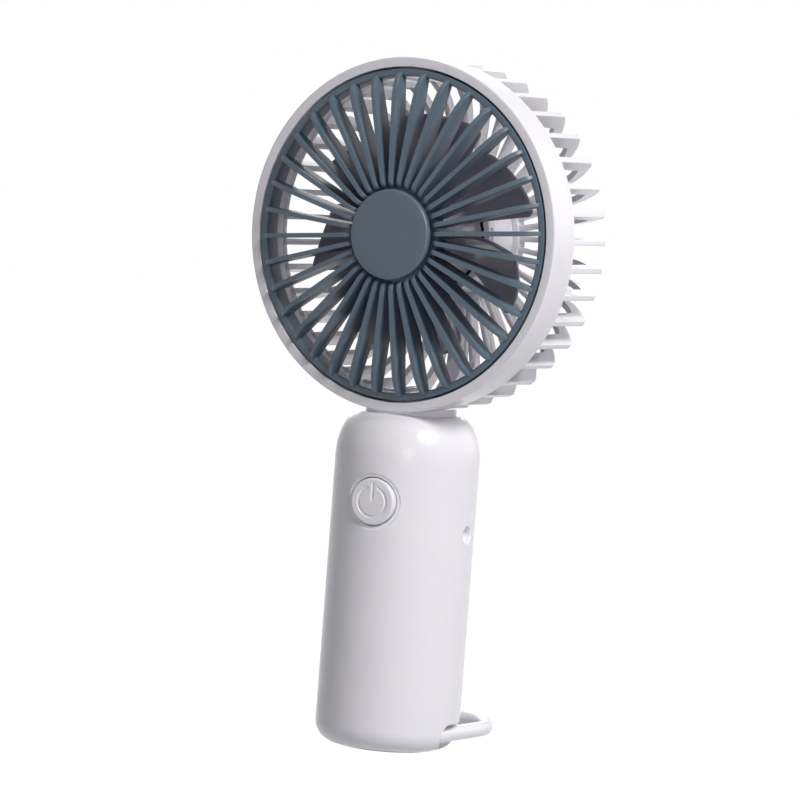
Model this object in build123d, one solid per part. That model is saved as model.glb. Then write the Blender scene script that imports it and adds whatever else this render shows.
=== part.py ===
from build123d import *
import math
import os

# Handheld rechargeable fan: round head on a cylindrical handle, U-shaped loop at the base.
# Millimetres. Origin: centre of the base on the floor. +Z up, the fan blows toward -Y.
# Head parts are drawn about their own axis: r from the head axis, y the world Y.

head_z = 149.0

# head barrel
barrel_r = 51.0
front_y = -13.6
parting_y = -3.6
barrel_rear_y = -1.5
rim_bore_r = 48.2
ledge_y = -7.9
barrel_bore_r = 46.4
rim_round = 0.5
seam = 0.06

# front grille
grille_r = 47.7
grille_bore_r = 45.5
rib_count = 36
rib_thick = 1.3
rib_back_y = -11.3
first_rib = 5.0
plate_r = 14.0
plate_bore_r = 5.2
plate_thick = 4.6
cap_r = 13.0
cap_front_y = -19.9
cap_thick = 1.7
collar_r = 5.0
collar_bore_r = 3.6
collar_back_y = -13.2

# rear grille
fin_count = 39
fin_thick = 1.7
fin_r = 50.4
fin_tip_y = 17.0
fin_leg = 4.6
rear_y = 26.0
leg_front_y = 22.4
hub_ring_r = 18.8
cup_r = 16.8
cup_front_y = 8.7
cup_wall = 2.0
strut_width = 5.0
channel_width = 2.8

# motor
screw_ring_r = 8.0
screw_hole_r = 1.2
can_r = 13.4
can_front_y = 9.3
can_rear_y = 19.6
magnet_r = 12.5
core_front_y = 12.4
core_rear_y = 18.4
core_r = 10.4
tooth_count = 9
bearing_tube_r = 3.4
bearing_r = 2.5
bearing_length = 2.3
motor_flange = (21.0, 22.5)

# impeller
blade_count = 7
blade_r = 35.0
blade_thick = 1.2
blade_phase = 22.75
blade_front_reach = 10.9
blade_full_x = 28.0
impeller_hub_r = 14.3
impeller_front_y = -10.6
impeller_rear_y = 8.2
hub_nose_r = 10.0
shaft_r = 1.0

# handle
handle_turn = 5.5  # the handle's front stands this many degrees round from the head's front
handle_r = 21.0
handle_wall = 2.2
handle_top_z = 97.4
shoulder_z = 84.0
cap_top_z = 11.0
neck_r = 13.2
top_flat_r = 13.4
collar_seat_r = 10.5
lead_bore_r = 2.6
base_corner = 6.1
pad_r = 14.0
button_z = 72.5
button_r = 6.85
button_proud = 0.6
hole_z = 64.0
hole_r = 2.4
port_z = 40.0
port_y = -2.8

# battery and board
cell_r = 9.2
cell_y = 8.3
cell_bottom_z = 14.6
cell_length = 65.0
board_back_y = -4.4
board_thick = 1.2
board_top_z = 79.2
board_half = 13.5
board_screw_z = (21.0, 76.0)
board_screw_x = 11.3
base_screw_ring_r = 7.6
lead_r = 0.5
lead_x = 0.62

# loop
loop_wire_r = 2.2
loop_half = 17.5
pivot_z = 5.2
loop_straight = 22.0
pin_r = 1.0
notch_x = 14.9
notch_r = 3.6


def turned(outline, rounds=()):
    face = make_face(Polyline(*outline, close=True))
    for corner, radius in rounds:
        face = fillet(face.vertices().sort_by_distance((corner[0], corner[1], 0))[0], radius)
    return revolve(Plane.XZ * face, Axis.Z)


def on_head(shape):
    return Location((0, 0, head_z), (-90, 0, 0)) * shape


def tube(outer_r, inner_r, start, end):
    ring = Pos(0, 0, start) * extrude(Circle(outer_r), end - start)
    if inner_r > 0:
        ring -= Pos(0, 0, start - 1) * extrude(Circle(inner_r), end - start + 2)
    return ring


def plate(outline, thick):
    return extrude(Plane.XZ * make_face(outline), thick / 2, both=True)


def block(x_range, y_range, z_range):
    size = [b - a for a, b in (x_range, y_range, z_range)]
    middle = [(a + b) / 2 for a, b in (x_range, y_range, z_range)]
    return Pos(*middle) * Box(*size)


def barrel_shell():
    # white front barrel; the grille drops into its stepped bore
    outline = [
        (rim_bore_r, front_y),
        (barrel_r, front_y),
        (barrel_r, parting_y - seam),
        (barrel_bore_r, parting_y - seam),
        (barrel_bore_r, ledge_y),
        (rim_bore_r, ledge_y),
    ]
    rounds = [((barrel_r, front_y), rim_round), ((rim_bore_r, front_y), 0.25)]
    return on_head(turned(outline, rounds))


def grille_rib():
    # thin radial plate: quick rise from the ring, long gentle dome, rolled-over inner end
    rise = ThreePointArc((46.6, front_y + 0.3), (45.3, front_y - 1.75), (42.4, front_y - 3.05))
    dome = ThreePointArc((42.4, front_y - 3.05), (29.0, front_y - 4.75), (15.4, front_y - 5.65))
    roll = ThreePointArc((15.4, front_y - 5.65), (14.1, front_y - 5.2), (13.5, front_y - 4.2))
    rest = Polyline((13.5, front_y - 4.2), (13.5, rib_back_y), (46.6, rib_back_y), (46.6, front_y + 0.3))
    return plate(rise + dome + roll + rest, rib_thick)


def front_grille():
    ring = [
        (grille_bore_r, front_y),
        (grille_r, front_y),
        (grille_r, ledge_y - 0.05),
        (grille_bore_r, ledge_y - 0.05),
    ]
    body = turned(ring, [((grille_r, front_y), 0.3), ((grille_bore_r, front_y), 0.4)])
    body += tube(plate_r, plate_bore_r, rib_back_y - plate_thick, rib_back_y)
    ribs = [Rot(0, 0, first_rib + 360 / rib_count * i) * grille_rib() for i in range(rib_count)]
    return on_head(body + ribs)


def grille_hub_cap():
    # plain round cap on the middle of the grille, held by a split collar
    back_y = cap_front_y + cap_thick
    outline = [
        (0, cap_front_y - 0.35),
        (cap_r - 1.2, cap_front_y - 0.1),
        (cap_r, cap_front_y + 0.5),
        (cap_r, back_y),
        (collar_r, back_y),
        (collar_r, collar_back_y),
        (collar_bore_r, collar_back_y),
        (collar_bore_r, back_y),
        (0, back_y),
    ]
    cap = turned(outline)
    split = Pos(0, 0, collar_back_y - 1.0) * Box(2.4 * collar_r, 1.0, 4.4)
    for angle in (0, 90):
        cap -= Rot(0, 0, angle) * split
    return on_head(cap)


def fin_outline():
    # hooked rear rib: outer leg along the barrel, domed turn, inner leg to the motor seat
    start = (fin_r, parting_y + 0.8)
    tip = (fin_r, fin_tip_y)
    crest = (39.6, 25.4)
    inner = (hub_ring_r - 1.0, rear_y)
    outside = Line(start, tip) + ThreePointArc(tip, (45.6, 21.7), crest) + Line(crest, (35.0, rear_y))
    outside += Line((35.0, rear_y), inner)
    bend = (fin_r - fin_leg, fin_tip_y - 0.6)
    knee = (38.2, leg_front_y)
    inside = Line(inner, (hub_ring_r - 1.0, leg_front_y)) + Line((hub_ring_r - 1.0, leg_front_y), knee)
    inside += ThreePointArc(knee, (42.3, 20.3), bend)
    inside += Polyline(bend, (fin_r - fin_leg, parting_y + 0.8), start)
    return outside + inside


def lead_channel():
    # groove for the motor leads inside the wide bottom strut
    half = channel_width / 2
    groove = block((47.2, 51.5), (-half, half), (1.0, 6.0))
    groove += block((47.2, 48.9), (-half, half), (1.0, 15.0))
    inner_side = [(14.0, 23.3), (38.6, 23.3), (43.0, 20.5), (47.2, 14.0)]
    outer_side = [(48.9, 14.0), (48.9, 16.0), (44.7, 21.6), (39.2, 24.9), (14.0, 24.9)]
    groove += plate(Polyline(*inner_side, *outer_side, close=True), channel_width)
    return groove


def rear_grille():
    ring = [
        (barrel_bore_r, parting_y),
        (barrel_r, parting_y),
        (barrel_r, barrel_rear_y - 0.7),
        (barrel_r - 0.6, barrel_rear_y),
        (barrel_bore_r, barrel_rear_y),
    ]
    body = turned(ring)
    body += tube(hub_ring_r, cup_r + seam, leg_front_y - 0.5, rear_y)
    body += tube(cup_r + 0.5, 0, rear_y - 1.5, rear_y)
    fins = [Rot(0, 0, 90 + 360 / fin_count * i) * plate(fin_outline(), fin_thick) for i in range(1, fin_count)]
    body = body + fins + Rot(0, 0, 90) * plate(fin_outline(), strut_width)
    body -= Rot(0, 0, 90) * lead_channel()
    head_room_r = 2.1
    shaft_room_r = 2.6
    for place in motor_screw_places():
        body -= place * tube(screw_hole_r, 0, rear_y - 2, rear_y + 1)
        body -= place * tube(head_room_r, 0, rear_y - 1.0, rear_y + 1)
    body -= tube(shaft_room_r, 0, rear_y - 2, rear_y + 1)
    return on_head(body)


def motor_screw_places():
    return [Rot(0, 0, 30 + 120 * i) * Pos(screw_ring_r, 0, 0) for i in range(3)]


def motor_cup():
    # white cup round the motor, open to the front
    floor_y = rear_y - 3.4
    outline = [
        (3.0, floor_y),
        (cup_r - cup_wall, floor_y),
        (cup_r - cup_wall, cup_front_y),
        (cup_r, cup_front_y),
        (cup_r, rear_y - 1.56),
        (3.0, rear_y - 1.56),
    ]
    cup = turned(outline, [((cup_r, cup_front_y), 0.5)])
    for place in motor_screw_places():
        cup -= place * tube(screw_hole_r, 0, floor_y - 1, rear_y)
    slot = (cup_front_y + 0.7, cup_front_y + 2.1)
    for side in (-5, 175):
        cup -= Rot(0, 0, side) * block((cup_r - 3, cup_r + 1), (-2.2, 2.2), slot)
    lead_gap = Rot(0, 0, 90) * block((cup_r - 4, cup_r + 1), (-1.5, 1.5), (floor_y - 2.0, rear_y))
    return on_head(cup - lead_gap)


def rear_cap():
    # snap-in disc over the motor screws
    radius = 14.6
    peg_r = 2.4
    outline = [
        (0, rear_y + seam),
        (radius, rear_y + seam),
        (radius, rear_y + 0.9),
        (radius - 1.2, rear_y + 1.5),
        (0, rear_y + 1.7),
    ]
    return on_head(turned(outline) + tube(peg_r, 0, rear_y - 1.4, rear_y + 0.5))


def motor_base():
    # aluminium flange with the bearing tube
    bore_r = bearing_r + seam
    flange_start, flange_end = motor_flange
    body = tube(11.0, bore_r, flange_start, flange_end) + tube(bearing_tube_r, bore_r, 11.0, flange_end)
    for place in motor_screw_places():
        body -= place * tube(0.8, 0, flange_start - 1, flange_end + 1)
    return on_head(body)


def motor_bearings():
    # one bush near each end of the bearing tube
    bore_r = shaft_r + 0.04
    races = [tube(bearing_r, bore_r, start, start + bearing_length) for start in (11.2, 19.4)]
    return on_head(Compound(races))


def stator_core():
    # ring with nine T-shaped teeth, pressed on the bearing tube
    depth = (core_front_y, core_rear_y)
    bore_r = bearing_tube_r + seam
    core = tube(5.4, bore_r, *depth)
    tooth = block((4.0, 9.4), (-0.9, 0.9), depth) + block((9.2, 10.3), (-2.9, 2.9), depth)
    for i in range(tooth_count):
        core += Rot(0, 0, 360 / tooth_count * i) * tooth
    return on_head(core & tube(core_r, bore_r, *depth))


def stator_coils():
    # one winding round each tooth
    outside = block((5.7, 9.0), (-1.75, 1.75), (core_front_y - 0.8, core_rear_y + 0.8))
    inside = block((5, 10), (-0.95, 0.95), (core_front_y - seam, core_rear_y + seam))
    winding = outside - inside
    coils = [(Rot(0, 0, 360 / tooth_count * i) * winding).solid() for i in range(tooth_count)]
    return on_head(Compound(coils))


def motor_board():
    start = core_rear_y + 1.2
    end = start + 1.0
    board = tube(10.6, bearing_tube_r + 0.2, start, end)
    for place in motor_screw_places():
        board -= place * tube(1.3, 0, start - 1, end + 1)
    return on_head(board)


def cross_slot(width, length):
    # the cross in a screw head
    return Box(length, width, 1.0) + Box(width, length, 1.0)


def motor_screws():
    # three identical screws through the seat into the motor flange
    head = tube(1.9, 0, rear_y - 0.9, rear_y - 0.1)
    shank = tube(0.75, 0, motor_flange[0] + 0.2, rear_y - 0.5)
    screw = head + shank - Pos(0, 0, rear_y) * cross_slot(0.45, 2.2)
    return on_head(Compound([(place * screw).solid() for place in motor_screw_places()]))


def blade_reach(x):
    # how far the blade spreads to its front edge and to its rear edge, at x from the axis
    front = blade_front_reach - 5.5 * (max(0.0, blade_full_x - x) / 16.0) ** 2
    rear = 1.2 + 0.36 * (x - 12.0)
    return front, rear


def blade_section(x):
    # cambered slice of a blade at distance x from the axis; s tangential, a axial
    spare = 0.4
    bow = 1.7
    half = blade_thick / 2
    edge = 0.35
    front, rear = blade_reach(x)
    lead = Vector(-front, -9.3 + (x - 4.0) * 0.04)
    trail = Vector(rear, 6.8 - (x - 4.0) * 0.075)
    along = (trail - lead).normalized()
    lead -= along * spare
    trail += along * spare
    across = Vector(-along.Y, along.X)
    middle = (lead + trail) * 0.5 + across * bow
    outline = ThreePointArc(lead + across * edge, middle + across * half, trail + across * edge)
    outline += Line(trail + across * edge, trail - across * edge)
    outline += ThreePointArc(trail - across * edge, middle - across * half, lead - across * edge)
    outline += Line(lead - across * edge, lead + across * edge)
    return Plane((x, 0, 0), x_dir=(0, 1, 0), z_dir=(1, 0, 0)) * make_face(outline)


def blade_plan():
    # the blade seen along the axis: curved front edge, straight rear edge, tip on a circle
    root_x = 9.0
    belly_x = (root_x + blade_full_x) / 2
    rear_x = 33.81
    root_front, root_rear = blade_reach(root_x)
    root = (root_x, -root_front)
    belly = (belly_x, -blade_reach(belly_x)[0])
    full = (blade_full_x, -blade_front_reach)
    front_tip = (math.sqrt(blade_r ** 2 - blade_front_reach ** 2), -blade_front_reach)
    rear_tip = (rear_x, blade_reach(rear_x)[1])
    outline = ThreePointArc(root, belly, full) + Line(full, front_tip)
    outline += ThreePointArc(front_tip, (blade_r, 0), rear_tip)
    outline += Line(rear_tip, (root_x, root_rear)) + Line((root_x, root_rear), root)
    face = make_face(outline)
    face = fillet(face.vertices().sort_by_distance((*rear_tip, 0))[0], 2.6)
    return fillet(face.vertices().sort_by_distance((*front_tip, 0))[0], 1.8)


def hub_core():
    # space inside the hub's dome, kept clear of the blade roots
    sunk = 0.5
    radius = impeller_hub_r - sunk
    front = impeller_front_y + sunk
    outline = [(0, front), (radius, front), (radius, 20), (0, 20)]
    return turned(outline, [((radius, front), hub_nose_r - sunk)])


def blade():
    body = loft([blade_section(x) for x in (8.0, 17.0, 26.0, 36.5)])
    body &= Pos(0, 0, -15) * extrude(blade_plan(), 30)
    return body - hub_core()


def impeller():
    skirt = 1.4
    outline = [
        (shaft_r, impeller_front_y),
        (impeller_hub_r, impeller_front_y),
        (impeller_hub_r, impeller_rear_y),
        (impeller_hub_r - skirt, impeller_rear_y),
        (impeller_hub_r - skirt, impeller_front_y + 1.6),
        (3.2, impeller_front_y + 1.6),
        (3.2, 6.4),
        (shaft_r, 6.4),
    ]
    nose = ((impeller_hub_r, impeller_front_y), hub_nose_r)
    nose_inside = ((impeller_hub_r - skirt, impeller_front_y + 1.6), hub_nose_r - skirt)
    body = turned(outline, [nose, nose_inside])
    turn = 360 / blade_count
    blades = [Rot(0, 0, blade_phase + turn * i) * blade() for i in range(blade_count)]
    return on_head(body + blades)


def motor_shaft():
    # its rear end has a groove for the clip
    end = motor_flange[1] - 0.05
    shaft = tube(shaft_r, 0, impeller_front_y + 0.6, end) - tube(2, 0.75, end - 0.49, end - 0.21)
    return on_head(shaft)


def shaft_clip():
    clip = tube(2.0, 0.78, 22.0, 22.2) - block((0, 3), (-0.6, 0.6), (21, 23))
    return on_head(clip)


def rotor_can():
    # steel cup turning round the stator, with a boss on the shaft
    wall = 0.9
    boss_r = 2.6
    boss_front = can_front_y - 0.7
    outline = [
        (shaft_r, boss_front),
        (boss_r, boss_front),
        (boss_r, can_front_y),
        (can_r, can_front_y),
        (can_r, can_rear_y),
        (can_r - wall, can_rear_y),
        (can_r - wall, can_front_y + wall),
        (shaft_r, can_front_y + wall),
    ]
    return on_head(turned(outline, [((can_r, can_front_y), 0.8)]))


def magnet_ring():
    return on_head(tube(magnet_r, magnet_r - 1.4, core_front_y - 0.6, core_rear_y + 0.8))


def neck_collar():
    # short neck: stub under the barrel, tenon and flange inside the handle
    flange_top = handle_top_z - 4.5
    stub = Pos(0, 0, handle_top_z + 0.05) * extrude(Circle(neck_r), 8)
    barrel_space = Pos(0, 0, head_z) * Rot(90, 0, 0) * Cylinder(barrel_r + 0.08, 2 * neck_r + 2)
    stub -= barrel_space
    stub += tube(collar_seat_r - 0.1, 0, flange_top - 0.1, handle_top_z + 0.3)
    stub += tube(neck_r + 0.4, 0, flange_top - 1.9, flange_top)
    bore = Pos(0, 4.0, 0) * tube(lead_bore_r, 0, flange_top - 10, head_z - 30)
    return stub - bore


def shell_outline():
    # wall of the handle: straight side, quarter-oval shoulder, flat top with the neck's bore
    inner_r = handle_r - handle_wall
    foot_z = cap_top_z + seam
    seat_z = handle_top_z - 4.4
    seat_r = 14.0
    outer = Line((handle_r, foot_z), (handle_r, shoulder_z))
    across = handle_r - top_flat_r
    shoulder = EllipticalCenterArc((top_flat_r, shoulder_z), across, handle_top_z - shoulder_z, 0, arc_size=90)
    top = [(top_flat_r, handle_top_z), (collar_seat_r, handle_top_z), (collar_seat_r, seat_z), (seat_r, seat_z)]
    inner = [(seat_r, seat_z), (inner_r, shoulder_z - 1.0), (inner_r, foot_z)]
    return outer + shoulder + Polyline(*top) + Polyline(*inner) + Line((inner_r, foot_z), (handle_r, foot_z))


def handle_shell():
    body = revolve(Plane.XZ * make_face(shell_outline()), Axis.Z)
    at_button = Pos(0, -handle_r, button_z) * Rot(90, 0, 0)
    body -= at_button * Cylinder(button_r + 0.15, 12)
    rim = body.edges().filter_by(lambda e: e.center().Y < -handle_r + 2.0 and abs(e.center().Z - button_z) < 8)
    body = fillet(rim.filter_by(lambda e: abs(e.length - 2 * math.pi * button_r) < 4), 0.8)
    # round pocket in the side, with a boss behind it
    body += Pos(handle_r - 2.6, 0, hole_z) * Rot(0, 90, 0) * Cylinder(hole_r + 1.4, 3.0)
    pocket = Pos(handle_r - 1.4, 0, hole_z) * Rot(0, 90, 0) * Cylinder(hole_r, 4.4)
    body -= pocket
    # charging port window on the other side
    half_wide = 1.75
    half_tall = 4.65
    wide = (port_y - half_wide, port_y + half_wide)
    tall = (port_z - half_tall, port_z + half_tall)
    return body - block((-handle_r - 1, -handle_r + 5), wide, tall)


def base_outline(radius, floor_z, corner):
    flat = Line((0, floor_z), (radius - corner, floor_z))
    bend = CenterArc((radius - corner, floor_z + corner), corner, -90, 90)
    wall = Line((radius, floor_z + corner), (radius, cap_top_z))
    close = Polyline((radius, cap_top_z), (0, cap_top_z), (0, floor_z))
    return flat + bend + wall + close


def notch_cut():
    # side recess the loop leg swings in: open to the rear and downward
    outside = 24.0
    wide = (notch_x, outside)
    profile = block(wide, (0, outside), (-1, pivot_z + notch_r))
    profile += block(wide, (-loop_wire_r - 0.2, 1), (-1, pivot_z))
    profile += Pos((notch_x + outside) / 2, 0, pivot_z) * Rot(0, 90, 0) * Cylinder(notch_r, outside - notch_x)
    return profile


def base_screw_places():
    return [Rot(0, 0, 90 + 120 * i) * Pos(base_screw_ring_r, 0, 0) for i in range(3)]


def base_cap():
    # hollow base with screw posts, solid round the two recesses
    post_r = 2.6
    head_room_r = 2.2
    inner_corner = base_corner - handle_wall
    body = revolve(Plane.XZ * make_face(base_outline(handle_r, 0.4, base_corner)), Axis.Z)
    hollow = revolve(Plane.XZ * make_face(base_outline(handle_r - handle_wall, 2.8, inner_corner)), Axis.Z)
    between = block((2.0 - notch_x, notch_x - 2.0), (-30, 30), (0, 20))
    ahead = block((-30, 30), (-30, -notch_r - 1.8), (0, 20))
    body -= hollow & (between + ahead)
    body -= notch_cut() + mirror(notch_cut(), Plane.YZ)
    body -= Pos(0, 0, pivot_z) * Rot(0, 90, 0) * Cylinder(pin_r + 0.02, 2 * notch_x + 2)
    body -= tube(pad_r + 0.1, 0, 0, 1.0)
    for screw_place in base_screw_places():
        place = Rot(0, 0, handle_turn) * screw_place
        body += place * tube(post_r, 0, 2.0, cap_top_z)
        body -= place * tube(screw_hole_r, 0, 0, 20)
        body -= place * tube(head_room_r, 0, 0, 2.4)
    return body


def base_pad():
    # thin foot pad let into the base
    pad = extrude(Circle(pad_r), 0.95)
    return fillet(pad.edges().filter_by(GeomType.CIRCLE).sort_by(Axis.Z)[0], 0.2)


def base_screws():
    under = 1.1
    screw = tube(2.0, 0, under, 2.3) + tube(0.85, 0, 2.0, 14.0) - Pos(0, 0, under) * cross_slot(0.5, 2.4)
    return Compound([(place * screw).solid() for place in base_screw_places()])


def loop_pins():
    # one pin on each side, from the base's wall into the loop's leg
    inner_x = notch_x - 2.2
    outer_x = 18.6
    pin = Rot(0, 90, 0) * Cylinder(pin_r, outer_x - inner_x)
    pins = [Pos(side * (inner_x + outer_x) / 2, 0, pivot_z) * pin for side in (-1, 1)]
    return Compound([pin.solid() for pin in pins])


def hanging_loop():
    # one round bar bent to a U, legs ending in the side recesses
    path = Line((loop_half, 0, pivot_z), (loop_half, loop_straight, pivot_z))
    top = (0, loop_straight + loop_half, pivot_z)
    path += ThreePointArc((loop_half, loop_straight, pivot_z), top, (-loop_half, loop_straight, pivot_z))
    path += Line((-loop_half, loop_straight, pivot_z), (-loop_half, 0, pivot_z))
    start = Plane((loop_half, 0, pivot_z), x_dir=(1, 0, 0), z_dir=(0, 1, 0))
    body = sweep(start * Circle(loop_wire_r), path)
    for side in (-1, 1):
        body += Pos(side * loop_half, 0, pivot_z) * Sphere(loop_wire_r)
    bore_end = 18.7
    for side in (-1, 1):
        bore = Pos(side * (notch_x + bore_end) / 2, 0, pivot_z) * Rot(0, 90, 0)
        body -= bore * Cylinder(pin_r + 0.05, bore_end - notch_x)
    return body


def power_button():
    # domed button with an engraved ring-and-bar sign, stem and flange
    back = -17.2
    height = handle_r + button_proud + back
    cap = extrude(Circle(button_r), height)
    mark_r = 4.35
    mark_wide = 1.0
    mark_deep = 0.3
    skirt = 1.4
    cap = fillet(cap.edges().filter_by(GeomType.CIRCLE).sort_by(Axis.Z)[-1], 1.0)
    ring = Circle(mark_r + mark_wide / 2) - Circle(mark_r - mark_wide / 2) - Pos(0, mark_r) * Rectangle(3.1, 3.0)
    bar = Pos(0, 2.85) * Rectangle(mark_wide, 5.3)
    for mark in (ring, bar):
        cap -= Pos(0, 0, height - mark_deep) * extrude(mark, 1.0)
    cap += Pos(0, 0, -skirt) * extrude(Circle(button_r), skirt + 0.05)
    stem = Pos(0, 0, -7.4) * extrude(Circle(2.0), 6.2)
    flange = Pos(0, 0, -skirt) * extrude(Circle(button_r + 0.75), 0.9)
    return Pos(0, back, button_z) * Rot(90, 0, 0) * (cap + stem + flange)


def switch_plunger():
    middle_y = -8.78
    return Pos(0, middle_y, button_z) * Rot(90, 0, 0) * Cylinder(1.6, 1.9)


def tact_switch():
    back = board_back_y - board_thick - 0.03
    front = back - 3.4
    half = 3.0
    body = block((-half, half), (front, back), (button_z - half, button_z + half))
    return body - Pos(0, front, button_z) * Rot(90, 0, 0) * Cylinder(1.7, 3.8)


def circuit_board():
    front = board_back_y - board_thick
    board = block((-board_half, board_half), (front, board_back_y), (18.0, board_top_z))
    for x, z in board_screw_spots():
        board -= Pos(x, 0, z) * Rot(90, 0, 0) * Cylinder(1.15, 30)
    return board


def board_screw_spots():
    return [(side * board_screw_x, z) for z in board_screw_z for side in (-1, 1)]


def board_chips():
    front = board_back_y - board_thick - 0.03
    chips = [
        block((-2.5, 2.5), (front - 1.5, front), (52.0, 58.0)),
        block((4.0, 10.0), (front - 2.8, front), (44.0, 50.0)),
        block((-9.0, -6.4), (front - 0.9, front), (57.0, 60.0)),
        block((5.0, 8.0), (front - 1.0, front), (60.0, 63.0)),
    ]
    return Compound([c.solid() for c in chips])


def board_screws():
    screws = []
    front = board_back_y - board_thick
    for x, z in board_screw_spots():
        head = Pos(x, front - 0.6, z) * Rot(90, 0, 0) * Cylinder(1.8, 1.0)
        shank = Pos(x, front + 2.2, z) * Rot(90, 0, 0) * Cylinder(0.8, 5.4)
        screws.append((head + shank).solid())
    return Compound(screws)


def port_socket():
    # metal shell of the charging socket, open to the outside
    height = 3.2
    mid = board_back_y + 0.03 + height / 2
    x_in = -12.4
    x_out = 1.5 - handle_r
    shell = block((x_out, x_in), (mid - height / 2, mid + height / 2), (port_z - 4.45, port_z + 4.45))
    edges = shell.edges().filter_by(Axis.X)
    shell = fillet(edges, 1.2)
    inner = block((x_out - 1, x_in - 1.0), (mid - 1.25, mid + 1.25), (port_z - 4.1, port_z + 4.1))
    inner = fillet(inner.edges().filter_by(Axis.X), 1.0)
    tongue = block((x_out + 1.0, x_in), (mid - 0.35, mid + 0.35), (port_z - 3.3, port_z + 3.3))
    return shell - inner + tongue


def battery_cell():
    # round cell with a raised pole
    pole = 0.8
    body = Pos(0, cell_y, cell_bottom_z) * extrude(Circle(cell_r), cell_length - pole)
    body = fillet(body.edges().filter_by(GeomType.CIRCLE), 0.6)
    return body + Pos(0, cell_y, cell_bottom_z + cell_length - pole - 0.1) * extrude(Circle(2.8), pole + 0.1)


def battery_tabs():
    gap = 0.03
    end = 0.2
    top_z = cell_bottom_z + cell_length
    deep = (cell_y - 8, cell_y + 4)
    low = block((-3, 3), deep, (cell_bottom_z - end, cell_bottom_z - gap))
    high = block((-3, 3), deep, (top_z + gap, top_z + end))
    return Compound([low.solid(), high.solid()])


def battery_cradle():
    # frame that carries the cell and the board: two discs joined by side rails
    top_z = cell_bottom_z + cell_length
    inner_r = handle_r - handle_wall - 0.25
    rim_z = top_z + 1.9
    body = tube(inner_r, 0, cap_top_z + 0.1, cell_bottom_z - 0.25)
    body += tube(inner_r - 0.6, 0, top_z + 0.3, rim_z)
    for side in (-1, 1):
        rail = sorted((side * 10.0, side * 13.6))
        body += block(rail, (board_back_y + 0.05, 5.0), (cap_top_z + 0.2, rim_z))
    body -= Pos(0, cell_y, cell_bottom_z - 0.2) * extrude(Circle(cell_r + 0.25), cell_length + 0.4)
    for place in base_screw_places():
        body -= place * tube(0.9, 0, 5, 30)
    for x, z in board_screw_spots():
        body -= Pos(x, 0, z) * Rot(90, 0, 0) * Cylinder(0.85, 11.0)
    # room for the charging socket, the button's stem and the leads
    body -= block((-14, -12.2), (board_back_y, port_y + 1.8), (port_z - 4.6, port_z + 4.6))
    body -= block((-5.0, 5.0), (-30, -1.0), (top_z, 90))
    body -= tube(7.2, 0, top_z, 95)
    return body


def lead_route(x):
    # from the board's top edge through the neck and the bottom strut to the motor
    start_y = board_back_y + 1.4
    neck_y = 4.0
    strut_y = 24.1
    return [
        (x, start_y, 74.0),
        (x, start_y, 84.0),
        (x, neck_y, 90.0),
        (x, neck_y, head_z - 48.0),
        (x, 15.0, head_z - 48.05),
        (x, 21.0, head_z - 43.85),
        (x, strut_y, head_z - 38.8),
        (x, strut_y, head_z - 20.0),
    ]


def motor_lead(x):
    route = lead_route(x)
    start = Plane(route[0], x_dir=(1, 0, 0), z_dir=(0, 0, 1))
    return sweep(start * Circle(lead_r), FilletPolyline(*route, radius=1.2))


straight_parts = {
    "barrel_shell": barrel_shell,
    "front_grille": front_grille,
    "grille_hub_cap": grille_hub_cap,
    "rear_grille": rear_grille,
    "rear_cap": rear_cap,
    "motor_cup": motor_cup,
    "motor_base": motor_base,
    "motor_bearings": motor_bearings,
    "stator_core": stator_core,
    "stator_coils": stator_coils,
    "motor_board": motor_board,
    "motor_screws": motor_screws,
    "impeller": impeller,
    "motor_shaft": motor_shaft,
    "shaft_clip": shaft_clip,
    "rotor_can": rotor_can,
    "magnet_ring": magnet_ring,
    "neck_collar": neck_collar,
    "base_cap": base_cap,
    "base_pad": base_pad,
    "loop_pins": loop_pins,
    "hanging_loop": hanging_loop,
}

turned_parts = {
    "handle_shell": handle_shell,
    "base_screws": base_screws,
    "power_button": power_button,
    "switch_plunger": switch_plunger,
    "tact_switch": tact_switch,
    "circuit_board": circuit_board,
    "board_chips": board_chips,
    "board_screws": board_screws,
    "port_socket": port_socket,
    "battery_cell": battery_cell,
    "battery_tabs": battery_tabs,
    "battery_cradle": battery_cradle,
}


def save_all():
    os.makedirs("parts", exist_ok=True)
    for name, make in straight_parts.items():
        export_step(make(), f"parts/{name}.step")
    for name, make in turned_parts.items():
        export_step(Rot(0, 0, handle_turn) * make(), f"parts/{name}.step")
    export_step(motor_lead(-lead_x), "parts/motor_lead_red.step")
    export_step(motor_lead(lead_x), "parts/motor_lead_black.step")


save_all()
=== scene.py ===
import math

import bmesh
import bpy
from mathutils import Matrix, Vector


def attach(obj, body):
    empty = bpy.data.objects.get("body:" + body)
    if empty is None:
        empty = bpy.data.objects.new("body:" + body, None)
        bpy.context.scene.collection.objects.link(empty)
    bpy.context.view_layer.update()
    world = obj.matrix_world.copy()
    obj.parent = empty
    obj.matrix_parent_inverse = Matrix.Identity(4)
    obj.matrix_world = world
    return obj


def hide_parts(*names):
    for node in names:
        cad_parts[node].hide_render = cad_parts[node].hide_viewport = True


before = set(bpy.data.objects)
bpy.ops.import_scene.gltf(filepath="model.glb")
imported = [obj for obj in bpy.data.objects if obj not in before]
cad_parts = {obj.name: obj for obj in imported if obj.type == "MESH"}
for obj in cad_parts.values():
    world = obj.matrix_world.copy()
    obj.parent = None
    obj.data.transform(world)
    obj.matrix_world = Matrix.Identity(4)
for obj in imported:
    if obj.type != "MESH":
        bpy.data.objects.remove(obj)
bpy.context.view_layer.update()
print("frame loaded")

mm = 0.001
headZ = 149.0  # height of the head's axis; the fan blows towards -Y
handleTurn = math.radians(5.5)  # the handle's front stands a little round from the head's front


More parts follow.
